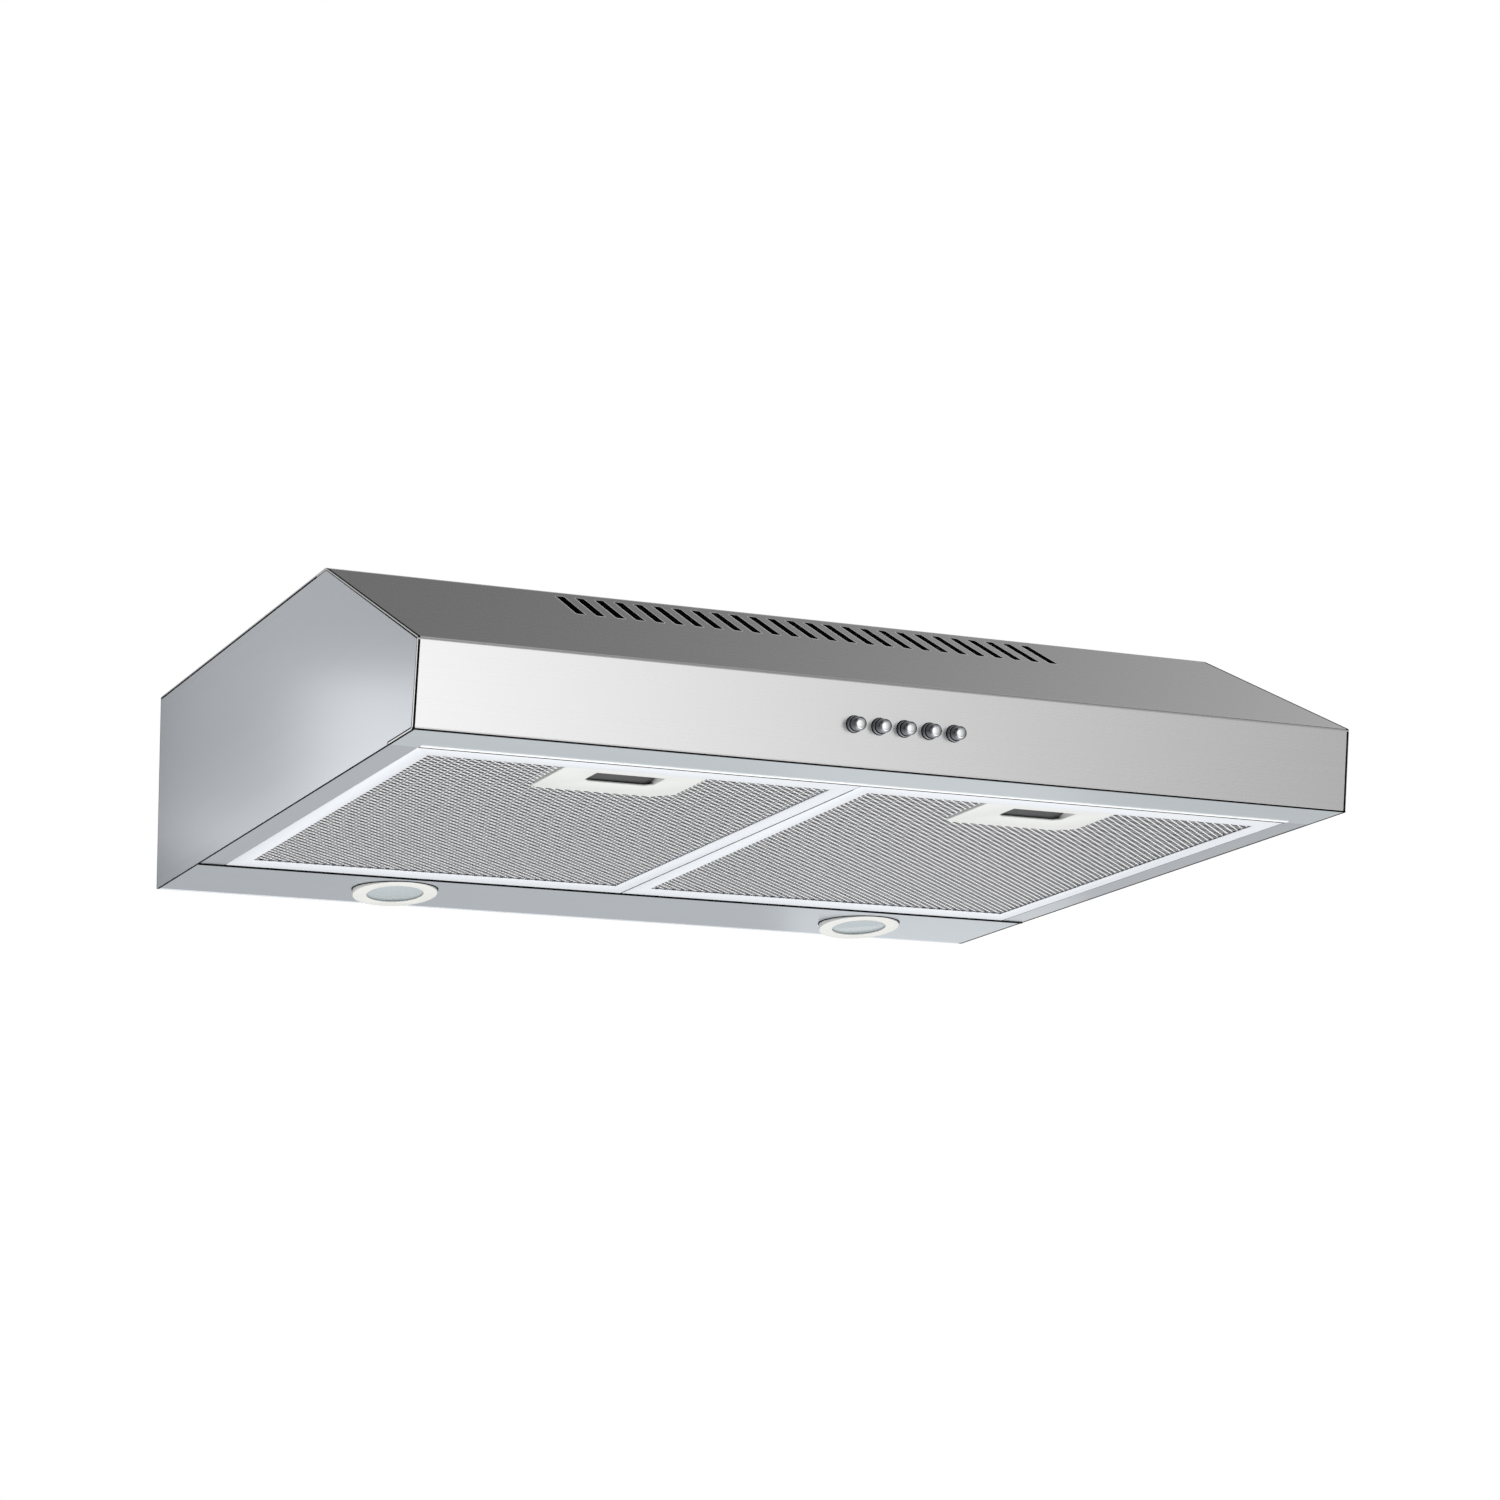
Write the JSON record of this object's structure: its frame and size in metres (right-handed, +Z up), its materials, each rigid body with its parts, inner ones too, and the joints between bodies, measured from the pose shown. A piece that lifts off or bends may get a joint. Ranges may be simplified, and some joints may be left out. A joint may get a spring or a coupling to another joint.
{
  "type": "under cabinet range hood",
  "caption": "Slim stainless under-cabinet range hood with a sloping vented visor, push buttons, hinged mesh grease filters, lamps, blower and a top exhaust collar.",
  "frame": {"origin": "middle of the hood's top rear edge, where the cabinet's underside meets the wall, on the roof's outer face", "axes": "+X to the hood's right seen from the front, +Y towards the wall, +Z up out of the roof"},
  "size_m": [0.6, 0.5105, 0.1614],
  "materials": {
    "brushed_steel_shell": "brushed",
    "galvanised_steel": "satin",
    "chrome": "polished",
    "filter_aluminium": "satin",
    "mesh_aluminium": "satin",
    "cream_plastic": "matt",
    "lamp_bezel": "satin",
    "lamp_glass": "frosted",
    "board_aluminium": "satin",
    "blower_plastic": "matt",
    "black_plastic": "matt",
    "motor_steel": "satin",
    "shaft_steel": "satin"
  },
  "bodies": {
    "hood": {"front_canopy": "brushed_steel_shell", "left_side_panel": "brushed_steel_shell", "right_side_panel": "brushed_steel_shell", "top_plate": "brushed_steel_shell", "back_panel": "brushed_steel_shell", "lamp_panel": "brushed_steel_shell", "centre_rail": "galvanised_steel", "button_ferrules": "chrome", "switch_housing": "black_plastic", "switch_bracket": "galvanised_steel", "left_lamp_bezel": "lamp_bezel", "right_lamp_bezel": "lamp_bezel", "left_lamp_lens": "lamp_glass", "right_lamp_lens": "lamp_glass", "left_lamp_board": "board_aluminium", "right_lamp_board": "board_aluminium", "lamp_clips": "shaft_steel", "blower_housing_left": "blower_plastic", "blower_housing_right": "blower_plastic", "motor": "motor_steel", "motor_clamp": "galvanised_steel", "motor_capacitor": "black_plastic", "inlet_guard_left": "blower_plastic", "inlet_guard_right": "blower_plastic", "duct_collar": "galvanised_steel", "damper_pins": "galvanised_steel", "wiring_box": "galvanised_steel", "wiring_box_cover": "galvanised_steel", "cable_gland": "black_plastic", "terminal_block": "black_plastic", "lamp_driver": "black_plastic", "collar_screws": "shaft_steel", "housing_screws": "shaft_steel", "cover_screws": "shaft_steel"},
    "left_filter": {"left_filter_frame": "filter_aluminium", "left_filter_front_mesh": "mesh_aluminium", "left_filter_core": "mesh_aluminium", "left_filter_rear_mesh": "mesh_aluminium", "left_latch_plate": "cream_plastic"},
    "left_latch": {"left_latch_slider": "cream_plastic"},
    "right_filter": {"right_filter_frame": "filter_aluminium", "right_filter_front_mesh": "mesh_aluminium", "right_filter_core": "mesh_aluminium", "right_filter_rear_mesh": "mesh_aluminium", "right_latch_plate": "cream_plastic"},
    "right_latch": {"right_latch_slider": "cream_plastic"},
    "lamp_button": {"lamp_button": "chrome"},
    "stop_button": {"stop_button": "chrome"},
    "low_speed_button": {"low_speed_button": "chrome"},
    "medium_speed_button": {"medium_speed_button": "chrome"},
    "high_speed_button": {"high_speed_button": "chrome"},
    "rotor": {"impeller_left": "blower_plastic", "impeller_right": "blower_plastic", "motor_shaft": "shaft_steel"},
    "front_flap": {"front_damper_flap": "blower_plastic"},
    "rear_flap": {"rear_damper_flap": "blower_plastic"}
  },
  "joints": [
    {"name": "left_filter_hinge", "type": "hinge", "parent": "hood", "child": "left_filter", "pos_m": [0, -0.094, -0.13], "axis": [1, 0, 0], "range_deg": [0, 60]},
    {"name": "left_latch_slide", "type": "slide", "parent": "left_filter", "child": "left_latch", "axis": [0, 1, 0], "range_m": [0, 0.006], "stiffness_N_per_m": 200, "springref_m": -0.003},
    {"name": "right_filter_hinge", "type": "hinge", "parent": "hood", "child": "right_filter", "pos_m": [0, -0.094, -0.13], "axis": [1, 0, 0], "range_deg": [0, 60]},
    {"name": "right_latch_slide", "type": "slide", "parent": "right_filter", "child": "right_latch", "axis": [0, 1, 0], "range_m": [0, 0.006], "stiffness_N_per_m": 200, "springref_m": -0.003},
    {"name": "lamp_button_press", "type": "slide", "parent": "hood", "child": "lamp_button", "axis": [0, 0.9865, 0.1638], "range_m": [0, 0.004], "stiffness_N_per_m": 300, "springref_m": -0.002},
    {"name": "stop_button_press", "type": "slide", "parent": "hood", "child": "stop_button", "axis": [0, 0.9865, 0.1638], "range_m": [0, 0.004], "stiffness_N_per_m": 300, "springref_m": -0.002},
    {"name": "low_speed_button_press", "type": "slide", "parent": "hood", "child": "low_speed_button", "axis": [0, 0.9865, 0.1638], "range_m": [0, 0.004], "stiffness_N_per_m": 300, "springref_m": -0.002},
    {"name": "medium_speed_button_press", "type": "slide", "parent": "hood", "child": "medium_speed_button", "axis": [0, 0.9865, 0.1638], "range_m": [0, 0.004], "stiffness_N_per_m": 300, "springref_m": -0.002},
    {"name": "high_speed_button_press", "type": "slide", "parent": "hood", "child": "high_speed_button", "axis": [0, 0.9865, 0.1638], "range_m": [0, 0.004], "stiffness_N_per_m": 300, "springref_m": -0.002},
    {"name": "rotor_spin", "type": "hinge", "parent": "hood", "child": "rotor", "pos_m": [0, -0.148, -0.058], "axis": [1, 0, 0], "continuous": true},
    {"name": "front_flap_hinge", "type": "hinge", "parent": "hood", "child": "front_flap", "pos_m": [0, -0.1462, 0.0039], "axis": [-1, 0, 0], "range_deg": [0, 80]},
    {"name": "rear_flap_hinge", "type": "hinge", "parent": "hood", "child": "rear_flap", "pos_m": [0, -0.1398, 0.0039], "axis": [1, 0, 0], "range_deg": [0, 80]}
  ]
}
